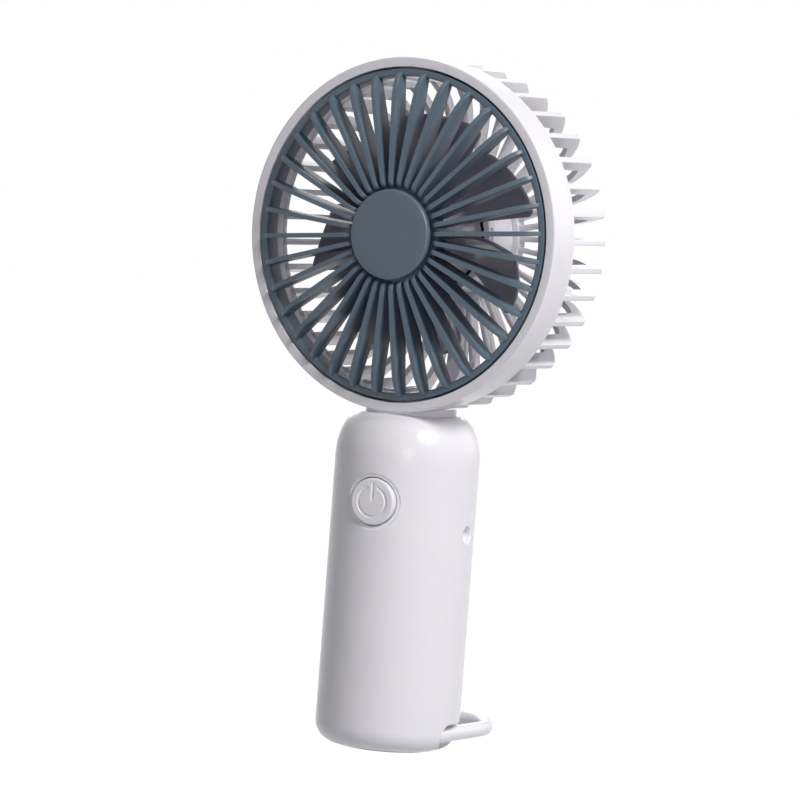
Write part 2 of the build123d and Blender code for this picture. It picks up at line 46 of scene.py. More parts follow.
def hexColour(code):
    # sRGB hex to the linear colour that the shaders take
    channels = [int(code[i:i + 2], 16) / 255 for i in (1, 3, 5)]
    linear = [c / 12.92 if c <= 0.04045 else ((c + 0.055) / 1.055) ** 2.4 for c in channels]
    return (*linear, 1.0)


def perMetre(sizeMm):
    # texture scale for a pattern whose cells are this many millimetres wide
    return 1000.0 / sizeMm


def addNode(tree, kind, settings=None, links=None):
    node = tree.nodes.new(kind)
    for key, value in (settings or {}).items():
        if key in node.inputs:
            node.inputs[key].default_value = value
        else:
            setattr(node, key, value)
    for key, socket in (links or {}).items():
        tree.links.new(socket, node.inputs[key])
    return node


def roundedLine(points, steps=5, closed=False):
    # points are (across, along, corner radius) in mm; corners with a radius become arcs
    line = []
    last = len(points) - 1
    for i, (u, v, radius) in enumerate(points):
        if radius <= 0 or (not closed and i in (0, last)):
            line.append((u, v))
            continue
        here = Vector((u, v))
        before = Vector(points[i - 1][:2]) - here
        after = Vector(points[(i + 1) % len(points)][:2]) - here
        cut = min(radius / math.tan(before.angle(after) / 2), 0.49 * before.length, 0.49 * after.length)
        start = here + before.normalized() * cut
        end = here + after.normalized() * cut
        for k in range(steps + 1):
            t = k / steps
            line.append(tuple(start.lerp(here, t).lerp(here.lerp(end, t), t)))
    return line


def onHead(r, y, angle):
    # place on the head: r from its axis, y along it, angle clockwise seen from the front
    return Vector((r * math.cos(angle), y, headZ - r * math.sin(angle))) * mm


def onHandle(r, z, angle):
    # place on the handle: angle 0 at the front, growing towards +X
    return Vector((r * math.sin(angle), -r * math.cos(angle), z)) * mm


def spin(bm, line, place, segments=144, closed=True):
    # turns a line of (r, height) about the axis that place() uses
    rings = []
    for r, h in line:
        if r < 1e-6:
            rings.append([bm.verts.new(place(0, h, 0))] * segments)
        else:
            rings.append([bm.verts.new(place(r, h, 2 * math.pi * i / segments)) for i in range(segments)])
    pairs = list(zip(rings, rings[1:]))
    if closed:
        pairs.append((rings[-1], rings[0]))
    for low, high in pairs:
        for i in range(segments):
            j = (i + 1) % segments
            corners = list(dict.fromkeys((low[i], low[j], high[j], high[i])))
            if len(corners) > 2:
                bm.faces.new(corners)


def plateBesideAxis(bm, outline, thick, edge, place, steps=3):
    # flat plate standing on its edge along a radius, with rounded edges; place(r, h, side) in mm
    sides = []
    for side in (-thick / 2, thick / 2):
        sides.append([bm.verts.new(place(r, h, side)) for r, h in outline])
    faces = [bm.faces.new(sides[0]), bm.faces.new(reversed(sides[1]))]
    count = len(outline)
    for i in range(count):
        j = (i + 1) % count
        bm.faces.new((sides[0][j], sides[0][i], sides[1][i], sides[1][j]))
    rims = [e for face in faces for e in face.edges]
    bmesh.ops.bevel(bm, geom=rims, offset=edge * mm, segments=steps, profile=0.6, affect="EDGES",
                    clamp_overlap=True)


def turnedCopies(bm, template, angles):
    # copies of a template made at angle 0, turned about the head's axis
    axisPoint = Vector((0, 0, headZ * mm))
    for angle in angles:
        turn = Matrix.Translation(axisPoint) @ Matrix.Rotation(angle, 4, "Y") @ Matrix.Translation(-axisPoint)
        mesh = bpy.data.meshes.new("turned")
        template.to_mesh(mesh)
        mesh.transform(turn)
        bm.from_mesh(mesh)
        bpy.data.meshes.remove(mesh)


def sweepSection(bm, path, out, across, upward, steps=20, ends=True):
    # sweeps an oval along a flat path; out is the direction that the path's plane faces
    out = Vector(out)
    rings = []
    for i, point in enumerate(path):
        ahead = Vector(path[min(i + 1, len(path) - 1)]) - Vector(path[max(i - 1, 0)])
        side = ahead.normalized().cross(out).normalized()
        ring = []
        for k in range(steps):
            t = 2 * math.pi * k / steps
            ring.append(bm.verts.new((Vector(point) + side * across * math.cos(t) + out * upward * math.sin(t)) * mm))
        rings.append(ring)
    for low, high in zip(rings, rings[1:]):
        for k in range(steps):
            j = (k + 1) % steps
            bm.faces.new((low[k], low[j], high[j], high[k]))
    if ends:
        for ring, step in ((rings[0], -1), (rings[-1], 1)):
            roundEnd(bm, ring, path, step, across)


def roundEnd(bm, ring, path, step, radius):
    # closes a swept bar with a half ball
    tip = Vector(path[-1] if step > 0 else path[0])
    inner = Vector(path[-2] if step > 0 else path[1])
    ahead = (tip - inner).normalized()
    last = ring
    layers = 6
    for layer in range(1, layers):
        angle = math.pi / 2 * layer / layers
        grown = []
        for vert in ring:
            offset = vert.co - tip * mm
            grown.append(bm.verts.new(tip * mm + offset * math.cos(angle) + ahead * radius * mm * math.sin(angle)))
        for k in range(len(ring)):
            j = (k + 1) % len(ring)
            bm.faces.new((last[k], last[j], grown[j], grown[k]))
        last = grown
    crown = bm.verts.new((tip + ahead * radius) * mm)
    for k in range(len(ring)):
        bm.faces.new((last[k], last[(k + 1) % len(ring)], crown))


def cutAway(solid, cutters):
    # cuts the cutters out of the solid and leaves a plain mesh
    for cutter in cutters:
        cutting = solid.modifiers.new("cut", "BOOLEAN")
        cutting.operation = "DIFFERENCE"
        cutting.solver = "EXACT"
        cutting.object = cutter
    bpy.context.view_layer.update()
    shaped = solid.evaluated_get(bpy.context.evaluated_depsgraph_get())
    bm = bmesh.new()
    bm.from_mesh(shaped.to_mesh())
    for obj in [solid, *cutters]:
        bpy.data.objects.remove(obj)
    return bm


def looseObject(name, bm):
    bmesh.ops.recalc_face_normals(bm, faces=bm.faces)
    mesh = bpy.data.meshes.new(name)
    bm.to_mesh(mesh)
    bm.free()
    obj = bpy.data.objects.new(name, mesh)
    bpy.context.scene.collection.objects.link(obj)
    return obj


def turnWithHandle(bm):
    bmesh.ops.rotate(bm, cent=(0, 0, 0), matrix=Matrix.Rotation(handleTurn, 3, "Z"), verts=bm.verts)


def piece(name, bm, material, body, nodes, sharp=38):
    bmesh.ops.remove_doubles(bm, verts=bm.verts, dist=0.002 * mm)
    bmesh.ops.recalc_face_normals(bm, faces=bm.faces)
    mesh = bpy.data.meshes.new(name)
    bm.to_mesh(mesh)
    bm.free()
    mesh.shade_smooth()
    mesh.set_sharp_from_angle(angle=math.radians(sharp))
    obj = bpy.data.objects.new(name, mesh)
    bpy.context.scene.collection.objects.link(obj)
    obj.data.materials.append(material)
    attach(obj, body)
    if nodes:
        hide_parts(*nodes)
    return obj


def plasticBase(name, light, dark, cloudMm, grainMm, grainHeight, roughness, spread):
    # shared start of the moulded plastics: faint clouding of the pigment, fine surface grain,
    # and a little change in gloss where the mould was polished more or less
    material = bpy.data.materials.new(name)
    material.use_nodes = True
    tree = material.node_tree
    shader = tree.nodes["Principled BSDF"]
    where = addNode(tree, "ShaderNodeTexCoord").outputs["Object"]
    cloud = addNode(tree, "ShaderNodeTexNoise", {"Scale": perMetre(cloudMm), "Detail": 3.0}, {"Vector": where})
    tone = addNode(tree, "ShaderNodeMix", {"data_type": "RGBA"}, {"Factor": cloud.outputs["Fac"]})
    colourIn = [s for s in tone.inputs if s.type == "RGBA"]
    colourIn[0].default_value = hexColour(light)
    colourIn[1].default_value = hexColour(dark)
    colourOut = [s for s in tone.outputs if s.type == "RGBA"][0]
    tree.links.new(colourOut, shader.inputs["Base Color"])
    gloss = addNode(tree, "ShaderNodeMapRange", {"To Min": roughness - spread, "To Max": roughness + spread},
                    {"Value": cloud.outputs["Fac"]})
    tree.links.new(gloss.outputs["Result"], shader.inputs["Roughness"])
    grain = addNode(tree, "ShaderNodeTexNoise", {"Scale": perMetre(grainMm), "Detail": 2.0}, {"Vector": where})
    bump = addNode(tree, "ShaderNodeBump", {"Strength": 1.0, "Distance": grainHeight * mm},
                   {"Height": grain.outputs["Fac"]})
    tree.links.new(bump.outputs["Normal"], shader.inputs["Normal"])
    return material, tree, shader


def polishedWhiteAbs():
    # white ABS from a polished mould: a soft milky body under a clear gloss
    material, tree, shader = plasticBase("polishedWhiteAbs", "#f4f1f6", "#efecf2", 14.0, 0.9, 0.0016, 0.24, 0.02)
    shader.inputs["IOR"].default_value = 1.54
    shader.inputs["Subsurface Weight"].default_value = 0.12
    shader.inputs["Subsurface Radius"].default_value = (1.0, 0.75, 0.7)
    shader.inputs["Subsurface Scale"].default_value = 0.9 * mm
    shader.inputs["Coat Weight"].default_value = 0.15
    shader.inputs["Coat Roughness"].default_value = 0.12
    return material


def satinSlateAbs():
    # slate ABS from a lightly textured mould: an even satin sheen along each rib
    material, tree, shader = plasticBase("satinSlateAbs", "#5d6e7e", "#566774", 9.0, 0.35, 0.004, 0.38, 0.03)
    shader.inputs["IOR"].default_value = 1.54
    return material


def glossyBladePlasticPaintedFill():
    # mauve-grey ABS from a polished mould: clear reflections on the hub and along the blades; its grey is painted
    # paler than the blades' own as painted fill light, since little light gets past the ribs
    # these pale greys are the blades' own mauve-grey lifted by painted fill light
    material, tree, shader = plasticBase("glossyBladePlasticPaintedFill", "#a19eaa", "#9895a1", 12.0, 0.8, 0.002, 0.22, 0.03)
    shader.inputs["IOR"].default_value = 1.54
    shader.inputs["Coat Weight"].default_value = 0.3
    shader.inputs["Coat Roughness"].default_value = 0.1
    return material


def mouldedFootRubber():
    # thermoplastic rubber foot pad: matt, slightly dusty
    material, tree, shader = plasticBase("mouldedFootRubber", "#4a5661", "#414d57", 5.0, 0.25, 0.01, 0.62, 0.05)
    shader.inputs["IOR"].default_value = 1.5
    return material


hiddenFinishes = {
    # name: light, dark, cloud mm, grain mm, grain height mm, roughness, spread, metallic
    "turnedAluminium": ("#c9ccd0", "#b4b8bd", 3.0, 0.12, 0.003, 0.34, 0.06, 1.0),
    "machinedSteel": ("#b9bbbf", "#9a9ca1", 2.5, 0.10, 0.003, 0.30, 0.05, 1.0),
    "zincPlatedSteel": ("#a9acb3", "#8e9199", 4.0, 0.30, 0.004, 0.36, 0.06, 1.0),
    "laminatedSteel": ("#6d6f75", "#54565b", 1.5, 0.50, 0.020, 0.45, 0.06, 1.0),
    "enamelledCopper": ("#b5652f", "#8f4a20", 1.0, 0.35, 0.060, 0.32, 0.05, 1.0),
    "bondedFerrite": ("#3a3a3d", "#2b2b2e", 1.2, 0.20, 0.012, 0.60, 0.05, 0.0),
    "greenSolderMask": ("#14563a", "#0f4630", 3.0, 0.60, 0.012, 0.30, 0.05, 0.0),
    "mouldedEpoxy": ("#1d1d20", "#141416", 0.8, 0.10, 0.004, 0.55, 0.05, 0.0),
    "mouldedNylonBlack": ("#232428", "#1a1b1e", 1.5, 0.15, 0.004, 0.48, 0.05, 0.0),
    "nickelPlatedSteel": ("#c7c4bf", "#aeaba6", 2.0, 0.25, 0.002, 0.22, 0.04, 1.0),
    "nickelStrip": ("#bdbbb6", "#a5a39f", 2.0, 0.20, 0.004, 0.38, 0.05, 1.0),
    "shrinkSleeve": ("#3f7fa6", "#366f93", 6.0, 0.80, 0.010, 0.28, 0.04, 0.0),
    "naturalNylon": ("#d9d9d4", "#cfcfc9", 4.0, 0.25, 0.004, 0.50, 0.05, 0.0),
    "redInsulation": ("#b3201c", "#9c1a17", 1.5, 0.20, 0.004, 0.42, 0.04, 0.0),
    "blackInsulation": ("#1b1b1d", "#131315", 1.5, 0.20, 0.004, 0.42, 0.04, 0.0),
}


def hiddenFinish(name):
    light, dark, cloudMm, grainMm, height, roughness, spread, metallic = hiddenFinishes[name]
    material, tree, shader = plasticBase(name, light, dark, cloudMm, grainMm, height, roughness, spread)
    shader.inputs["Metallic"].default_value = metallic
    return material


white = polishedWhiteAbs()
slate = satinSlateAbs()
# blade material whose colour carries painted fill light
bladeGreyPaintedFill = glossyBladePlasticPaintedFill()
footRubber = mouldedFootRubber()
print("materials made")


barrel = {
    "outer": 51.0,
    "rimFront": -13.6,
    "rimRound": 0.5,
    "rimBore": 48.2,
    "ledge": -7.9,
    "bore": 46.4,
    "parting": -3.6,
    "partingGap": 0.16,
    "rear": -1.5,
}


def makeBarrel(b):
    line = roundedLine([
        (b["rimBore"], b["rimFront"], 0.12),
        (b["outer"], b["rimFront"], b["rimRound"]),
        (b["outer"], b["parting"] - b["partingGap"], 0.12),
        (b["bore"], b["parting"] - b["partingGap"], 0.1),
        (b["bore"], b["ledge"], 0.2),
        (b["rimBore"], b["ledge"], 0.1),
    ], steps=6, closed=True)
    bm = bmesh.new()
    spin(bm, line, onHead, segments=192)
    return piece("barrelRim", bm, white, "fan", ["barrel_shell"])


makeBarrel(barrel)
print("barrel made")


grille = {
    "ringOuter": 47.5,
    "ringInner": 45.5,
    "ringBack": -7.95,
    "ribs": 36,
    "firstRib": 5.0,
    "ribThick": 1.3,
    "ribEdge": 0.24,
    "ribBack": -11.3,
    "backPlate": 14.0,
    "backPlateFront": -15.9,
}


def ribOutline(g):
    # height of the rib's front edge above the rim, from the ring to the middle
    front = barrel["rimFront"]
    crest = [(46.7, 0.0), (46.4, 0.5), (45.8, 1.25), (45.0, 1.85), (44.0, 2.4), (42.0, 3.05), (40.0, 3.45),
             (36.0, 3.95), (30.0, 4.45), (24.0, 4.85), (19.0, 5.2), (16.0, 5.45), (15.2, 5.42), (14.5, 5.2),
             (14.0, 4.8), (13.6, 4.2)]
    outline = [(r, front - rise) for r, rise in crest]
    return outline + [(13.5, g["ribBack"]), (46.7, g["ribBack"])]


def makeFrontGrille(g):
    front = barrel["rimFront"]
    bm = bmesh.new()
    ring = roundedLine([
        (g["ringInner"], front, 0.5),
        (g["ringOuter"], front, 0.15),
        (g["ringOuter"], g["ringBack"], 0.1),
        (g["ringInner"], g["ringBack"], 0.2),
    ], steps=4, closed=True)
    spin(bm, ring, onHead, segments=192)
    plateLine = roundedLine([
        (5.2, g["ribBack"], 0.1),
        (g["backPlate"], g["ribBack"], 0.3),
        (g["backPlate"], g["backPlateFront"], 0.3),
        (5.2, g["backPlateFront"], 0.1),
    ], steps=3, closed=True)
    spin(bm, plateLine, onHead, segments=96)
    template = bmesh.new()
    plateBesideAxis(template, ribOutline(g), g["ribThick"], g["ribEdge"],
                    lambda r, h, side: Vector((r, h, headZ + side)) * mm)
    step = 2 * math.pi / g["ribs"]
    turnedCopies(bm, template, [math.radians(g["firstRib"]) + step * i for i in range(g["ribs"])])
    template.free()
    return piece("frontGrille", bm, slate, "fan", ["front_grille"])


makeFrontGrille(grille)

hubCap = {
    "radius": 13.0,
    "front": -20.2,
    "crown": 0.25,
    "edgeRound": 0.9,
    "thick": 1.7,
    "collar": 5.0,
    "collarBack": -13.2,
}


def makeHubCap(c):
    line = [(0.0, c["front"])]
    line += [(c["radius"] * k / 8, c["front"] + c["crown"] * (k / 8) ** 2) for k in range(1, 7)]
    edge = c["front"] + c["crown"]
    line += roundedLine([
        (c["radius"] * 0.8, edge - c["crown"] * 0.36, 0),
        (c["radius"], edge + 0.05, c["edgeRound"]),
        (c["radius"], c["front"] + c["thick"] + 0.3, 0.2),
        (c["collar"], c["front"] + c["thick"] + 0.3, 0),
        (c["collar"], c["collarBack"], 0.3),
        (3.6, c["collarBack"], 0.3),
        (3.6, c["front"] + c["thick"], 0),
        (0.0, c["front"] + c["thick"], 0),
    ], steps=6)
    bm = bmesh.new()
    spin(bm, line, onHead, segments=128, closed=False)
    return piece("hubCap", bm, slate, "fan", ["grille_hub_cap"])


makeHubCap(hubCap)
print("front grille made")


rear = {
    "fins": 39,
    "finThick": 1.7,
    "finEdge": 0.22,
    "tip": 50.4,
    "tipBack": 17.0,
    "leg": 4.6,
    "back": 26.0,
    "legFront": 22.4,
    "hubRing": 18.8,
    "strutWidth": 5.0,
    "seatBore": 16.9,
}


def finOutline(f):
    # hooked rib: straight outer leg, domed turn, inner leg to the hub ring
    outer = [(f["tip"], barrel["parting"] + 0.8), (f["tip"], f["tipBack"] - 0.6), (f["tip"] - 0.15, f["tipBack"])]
    dome = [(48.6, 19.2), (46.4, 21.2), (43.6, 23.3), (40.7, 25.0), (37.0, 25.85), (33.0, f["back"])]
    inner = [(f["hubRing"] - 1.0, f["back"]), (f["hubRing"] - 1.0, f["legFront"])]
    legInner = f["tip"] - f["leg"]
    under = [(36.0, f["legFront"]), (38.0, 22.35), (39.5, 21.7), (41.2, 20.5), (43.6, 18.5), (legInner, 16.4)]
    return outer + dome + inner + under + [(legInner, barrel["parting"] + 0.8)]


def makeRearGrille(f):
    bm = bmesh.new()
    ring = roundedLine([
        (barrel["bore"], barrel["parting"], 0.1),
        (barrel["outer"], barrel["parting"], 0.12),
        (barrel["outer"], barrel["rear"] - 0.7, 0.3),
        (barrel["outer"] - 0.6, barrel["rear"], 0.25),
        (barrel["bore"], barrel["rear"], 0.2),
    ], steps=4, closed=True)
    spin(bm, ring, onHead, segments=192)
    seat = roundedLine([
        (f["seatBore"], f["legFront"] - 0.5, 0.2),
        (f["hubRing"], f["legFront"] - 0.5, 0.4),
        (f["hubRing"], f["back"], 0.5),
        (0.8, f["back"], 0),
        (0.8, f["back"] - 1.5, 0),
        (f["seatBore"], f["back"] - 1.5, 0.2),
    ], steps=4, closed=True)
    spin(bm, seat, onHead, segments=128)
    template = bmesh.new()
    flat = lambda r, h, side: Vector((r, h, headZ + side)) * mm
    plateBesideAxis(template, finOutline(f), f["finThick"], f["finEdge"], flat)
    step = 2 * math.pi / f["fins"]
    down = math.pi / 2
    turnedCopies(bm, template, [down + step * i for i in range(1, f["fins"])])
    template.free()
    strut = bmesh.new()
    plateBesideAxis(strut, finOutline(f), f["strutWidth"], f["finEdge"], flat)
    turnedCopies(bm, strut, [down])
    strut.free()
    return piece("rearGrille", bm, white, "fan", ["rear_grille"])


makeRearGrille(rear)

rearCap = {"radius": 14.6, "seat": 26.06, "edgeHeight": 0.9, "crownRadius": 13.4, "crownHeight": 1.5, "middle": 1.7}


def makeRearCap(c):
    line = roundedLine([
        (0.0, c["seat"], 0),
        (c["radius"], c["seat"], 0),
        (c["radius"], c["seat"] + c["edgeHeight"], 0.35),
        (c["crownRadius"], c["seat"] + c["crownHeight"] - 0.06, 0.8),
        (c["crownRadius"] * 0.5, c["seat"] + c["middle"] - 0.1, 3.0),
        (0.0, c["seat"] + c["middle"] - 0.06, 0),
    ], steps=6)
    bm = bmesh.new()
    spin(bm, line, onHead, segments=128, closed=False)
    return piece("rearCap", bm, white, "fan", ["rear_cap"])


makeRearCap(rearCap)
print("rear grille made")


cup = {
    "radius": 16.8,
    "front": 8.7,
    "floor": 22.6,
    "wall": 2.0,
    "lip": 0.3,
    "ringLines": (11.6, 21.0),
    "ringDepth": 0.18,
    "slotMiddle": 10.1,
    "slotWide": 1.5,
    "slotTall": 4.2,
    "slotTurn": -5.0,
}


def makeMotorCup(c):
    inner = c["radius"] - c["wall"]
    groove = c["radius"] - c["ringDepth"]
    back = 24.44
    outline = [(3.0, c["floor"], 0.2), (inner, c["floor"], 0.6), (inner, c["front"], 0.15),
               (c["radius"], c["front"], c["lip"])]
    for y in c["ringLines"]:
        outline += [(c["radius"], y - 0.2, 0.05), (groove, y - 0.12, 0.04), (groove, y + 0.12, 0.04),
                    (c["radius"], y + 0.2, 0.05)]
    outline += [(c["radius"], back, 0.1), (3.0, back, 0.1)]
    bm = bmesh.new()
    spin(bm, roundedLine(outline, steps=4, closed=True), onHead, segments=144)
    slots = [slotCutter(c, math.radians(c["slotTurn"] + 180 * side)) for side in (0, 1)]
    bm = cutAway(looseObject("cupBlank", bm), slots)
    return piece("motorCup", bm, white, "fan", ["motor_cup"])


def slotCutter(c, angle):
    # block that cuts a snap slot through the cup's wall
    bm = bmesh.new()
    bmesh.ops.create_cube(bm, size=1.0)
    size = Matrix.Diagonal((2 * c["wall"] * mm, c["slotWide"] * mm, c["slotTall"] * mm, 1))
    place = Matrix.Translation((c["radius"] * mm, c["slotMiddle"] * mm, 0)) @ size
    turn = Matrix.Translation((0, 0, headZ * mm)) @ Matrix.Rotation(angle, 4, "Y")
    bmesh.ops.transform(bm, matrix=turn @ place, verts=bm.verts)
    return looseObject("slotCutter", bm)


makeMotorCup(cup)

impeller = {
    "blades": 7,
    "phase": 22.75,
    "radius": 35.0,
    "hub": 14.3,
    "front": -10.6,
    "rear": 8.2,
    "skirt": 1.4,
    "nose": 10.0,
    "root": 9.4,
    "frontReach": 10.9,
    "fullAt": 28.0,
    "thick": 1.3,
    "bow": 1.7,
    "acrossSteps": 30,
    "alongSteps": 26,
}


def bladeReach(p, x):
    # how far the blade spreads to its front edge and to its rear edge, at x from the axis
    front = p["frontReach"] - 5.5 * (max(0.0, p["fullAt"] - x) / 16.0) ** 2
    return front, 1.2 + 0.36 * (x - 12.0)


def bladeCurve(p, x, sigma):
    # middle surface of a blade: sigma -1 at the front edge to 1 at the rear edge
    frontReach, rearReach = bladeReach(p, x)
    lead = Vector((-frontReach, -9.3 + (x - 4.0) * 0.04))
    trail = Vector((rearReach, 6.8 - (x - 4.0) * 0.075))
    chord = trail - lead
    normal = Vector((-chord.y, chord.x)).normalized()
    return lead.lerp(trail, (sigma + 1) / 2) + normal * p["bow"] * (1 - sigma * sigma), normal


def bladeTip(p, sigma):
    # distance from the axis at which this line of the blade meets the circle of the tips
    low, high = p["fullAt"], p["radius"]
    for step in range(20):
        x = (low + high) / 2
        front, rear = bladeReach(p, x)
        s = -front + (front + rear) * (sigma + 1) / 2
        if math.hypot(x, s) < p["radius"]:
            low = x
        else:
            high = x
    return low, (front + rear) / 2


def bladePoint(p, sigma, out, face):
    # face 1 or -1: front skin or rear skin; both meet at the rounded edge
    tip, half = bladeTip(p, sigma)
    corner = 2.8 if sigma > 0 else 2.0
    edge = max(0.0, 1 - (1 - abs(sigma)) * half / corner)
    tip -= corner * (1 - math.sqrt(max(0.0, 1 - edge * edge)))
    x = p["root"] + (tip - p["root"]) * out
    middle, normal = bladeCurve(p, x, sigma)
    toEdge = min((1 - abs(sigma)) * half, (1 - out) * (tip - p["root"]))
    rim = 0.5
    swell = math.sqrt(max(0.0, 1 - (1 - min(1.0, toEdge / rim)) ** 2))
    s, a = middle + normal * face * p["thick"] / 2 * swell
    return Vector((x, a, headZ - s)) * mm


def makeImpeller(p):
    bm = bmesh.new()
    inner = p["hub"] - p["skirt"]
    nose = [(p["hub"] - p["nose"] * (1 - math.sin(math.pi / 2 * k / 20)),
             p["front"] + p["nose"] * (1 - math.cos(math.pi / 2 * k / 20))) for k in range(21)]
    rest = roundedLine([
        (p["hub"], 0.0, 0),
        (p["hub"], p["rear"], 0.3),
        (inner, p["rear"], 0.3),
        (inner, p["front"] + 1.6, 5.0),
        (3.2, p["front"] + 1.6, 0),
        (3.2, 6.4, 0.2),
        (1.0, 6.4, 0),
        (1.0, p["front"], 0),
    ], steps=6)
    spin(bm, nose + rest, onHead, segments=144)
    blade = bmesh.new()
    wide = p["acrossSteps"]
    deep = p["alongSteps"]
    sigmas = [-math.cos(math.pi * i / wide) for i in range(wide + 1)]
    outs = [math.sin(math.pi / 2 * j / deep) for j in range(deep + 1)]
    skins = []
    for face in (1, -1):
        skins.append([[blade.verts.new(bladePoint(p, s, o, face)) for o in outs] for s in sigmas])
    for skin in skins:
        for i in range(wide):
            for j in range(deep):
                blade.faces.new((skin[i][j], skin[i + 1][j], skin[i + 1][j + 1], skin[i][j + 1]))
    bmesh.ops.remove_doubles(blade, verts=blade.verts, dist=0.01 * mm)
    step = 2 * math.pi / p["blades"]
    turnedCopies(bm, blade, [math.radians(p["phase"]) + step * i for i in range(p["blades"])])
    blade.free()
    return piece("impeller", bm, bladeGreyPaintedFill, "rotor", ["impeller"], sharp=50)


makeImpeller(impeller)
print("motor cup and impeller made")


handle = {
    "radius": 21.0,
    "wall": 2.2,
    "top": 97.4,
    "shoulder": 84.0,
    "topFlat": 13.4,
    "collarBore": 10.5,
    "seam": 11.03,
    "columns": 180,
    "buttonZ": 72.5,
    "buttonHole": 7.15,
    "buttonLip": 1.05,
    "buttonDish": 0.35,
    "pocketZ": 64.0,
    "pocketRadius": 2.4,
    "pocketLip": 0.5,
    "pocketDepth": 3.6,
    "portZ": 40.0,
    "portAside": 2.77,
}


def circleReach(radius):
    return lambda angle: radius


def slotReach(halfWide, halfTall, corner):
    # distance from the middle of a rounded slot to its edge in a given direction
    def reach(angle):
        low, high = 0.0, halfWide + halfTall
        for step in range(24):
            mid = (low + high) / 2
            dx = max(0.0, abs(mid * math.cos(angle)) - halfWide + corner)
            dz = max(0.0, abs(mid * math.sin(angle)) - halfTall + corner)
            if math.hypot(dx, dz) < corner:
                low = mid
            else:
                high = mid
        return low
    return reach


def holeSpecs(h):
    return [
        {"facing": 0.0, "aside": 0.0, "z": h["buttonZ"], "half": 9.5, "columns": 14,
         "reach": circleReach(h["buttonHole"]), "lip": h["buttonLip"], "dish": h["buttonDish"], "depth": 4.0,
         "floor": False},
        {"facing": 90.0, "aside": 0.0, "z": h["pocketZ"], "half": 4.0, "columns": 6,
         "reach": circleReach(h["pocketRadius"]), "lip": h["pocketLip"], "dish": 0.0, "depth": h["pocketDepth"],
         "floor": True},
        {"facing": -90.0, "aside": h["portAside"], "z": h["portZ"], "half": 6.5, "columns": 5,
         "reach": slotReach(1.75, 4.65, 1.4), "lip": 0.3, "dish": 0.0, "depth": 2.4, "floor": False},
    ]


def handleRows(h, holes):
    # heights of the skin's rings: close together beside the holes, wider apart elsewhere
    rows = {h["seam"], 12.5, 16.0, 20.0, 26.0, 32.0, 50.0, 56.0, h["shoulder"]}
    for hole in holes:
        count = int(round(hole["half"] * 2))
        rows |= {round(hole["z"] - hole["half"] + k, 3) for k in range(count + 1)}
    return sorted(z for z in rows if h["seam"] <= z <= h["shoulder"])


def skinPoint(h, hole, aside, z, drop=0.0):
    # place on the round skin at `aside` from the middle of the side that the hole faces
    facing = math.radians(hole["facing"])
    deep = math.sqrt(h["radius"] ** 2 - aside ** 2) - drop
    x = deep * math.sin(facing) + aside * math.cos(facing)
    y = -deep * math.cos(facing) + aside * math.sin(facing)
    return Vector((x, y, z)) * mm


def punchHole(bm, h, hole, border):
    # rings from the square border of the skin to the lip, round the lip and down the wall
    shapes = []
    facing = math.radians(hole["facing"])
    for theta, z in border:
        aside = h["radius"] * math.sin(theta - facing)
        direction = math.atan2(z - hole["z"], aside - hole["aside"])
        shapes.append((aside, z, direction, hole["reach"](direction)))
    lip = hole["lip"]
    rings = []
    for blend in (0.3, 0.6, 0.85, 1.0):
        ring = []
        for aside, z, direction, reach in shapes:
            lipAside = hole["aside"] + (reach + lip * 1.02) * math.cos(direction)
            lipZ = hole["z"] + (reach + lip * 1.02) * math.sin(direction)
            ring.append((aside + (lipAside - aside) * blend, z + (lipZ - z) * blend, 0.0))
        rings.append(ring)
    turns = [math.pi / 2 * k / 6 for k in range(7)]
    for turn in turns:
        grow = lip * (1 - math.sin(turn))
        drop = lip * (1 - math.cos(turn))
        if hole["dish"]:
            # the button sits in a shallow dish with a crisp outer edge
            grow = lip * math.cos(turn)
            drop = hole["dish"] * math.sin(turn)
        rings.append([(hole["aside"] + (reach + grow) * math.cos(direction),
                       hole["z"] + (reach + grow) * math.sin(direction), drop)
                      for aside, z, direction, reach in shapes])
    rings.append([(hole["aside"] + reach * math.cos(direction), hole["z"] + reach * math.sin(direction),
                   hole["depth"]) for aside, z, direction, reach in shapes])
    return [[bm.verts.new(skinPoint(h, hole, a, z, drop)) for a, z, drop in ring] for ring in rings]


def makeHandle(h):
    bm = bmesh.new()
    holes = holeSpecs(h)
    rows = handleRows(h, holes)
    columns = h["columns"]
    thetas = [2 * math.pi * i / columns for i in range(columns)]
    grid = [[bm.verts.new(onHandle(h["radius"], z, t)) for t in thetas] for z in rows]
    cut = {}
    for number, hole in enumerate(holes):
        middle = math.asin(hole["aside"] / h["radius"]) + math.radians(hole["facing"])
        first = round(middle / (2 * math.pi) * columns) - hole["columns"]
        last = first + 2 * hole["columns"]
        low = rows.index(round(hole["z"] - hole["half"], 3))
        high = rows.index(round(hole["z"] + hole["half"], 3))
        for j in range(low, high):
            for i in range(first, last):
                cut[(j, i % columns)] = number
        loop = [(low, i) for i in range(first, last)] + [(j, last) for j in range(low, high)]
        loop += [(high, i) for i in range(last, first, -1)] + [(j, first) for j in range(high, low, -1)]
        border = [(2 * math.pi * i / columns, rows[j]) for j, i in loop]
        rings = [[grid[j][i % columns] for j, i in loop]] + punchHole(bm, h, hole, border)
        for outerRing, innerRing in zip(rings, rings[1:]):
            for k in range(len(loop)):
                n = (k + 1) % len(loop)
                bm.faces.new((outerRing[k], outerRing[n], innerRing[n], innerRing[k]))
        if hole["floor"]:
            bm.faces.new(rings[-1])
    for j in range(len(rows) - 1):
        for i in range(columns):
            if (j, i) not in cut:
                n = (i + 1) % columns
                bm.faces.new((grid[j][i], grid[j][n], grid[j + 1][n], grid[j + 1][i]))
    loose = [v for v in bm.verts if not v.link_faces]
    bmesh.ops.delete(bm, geom=loose, context="VERTS")
    addShoulder(bm, h, grid[-1])
    addFoot(bm, h, grid[0])
    turnWithHandle(bm)
    return piece("handleSkin", bm, white, "fan", ["handle_shell"])


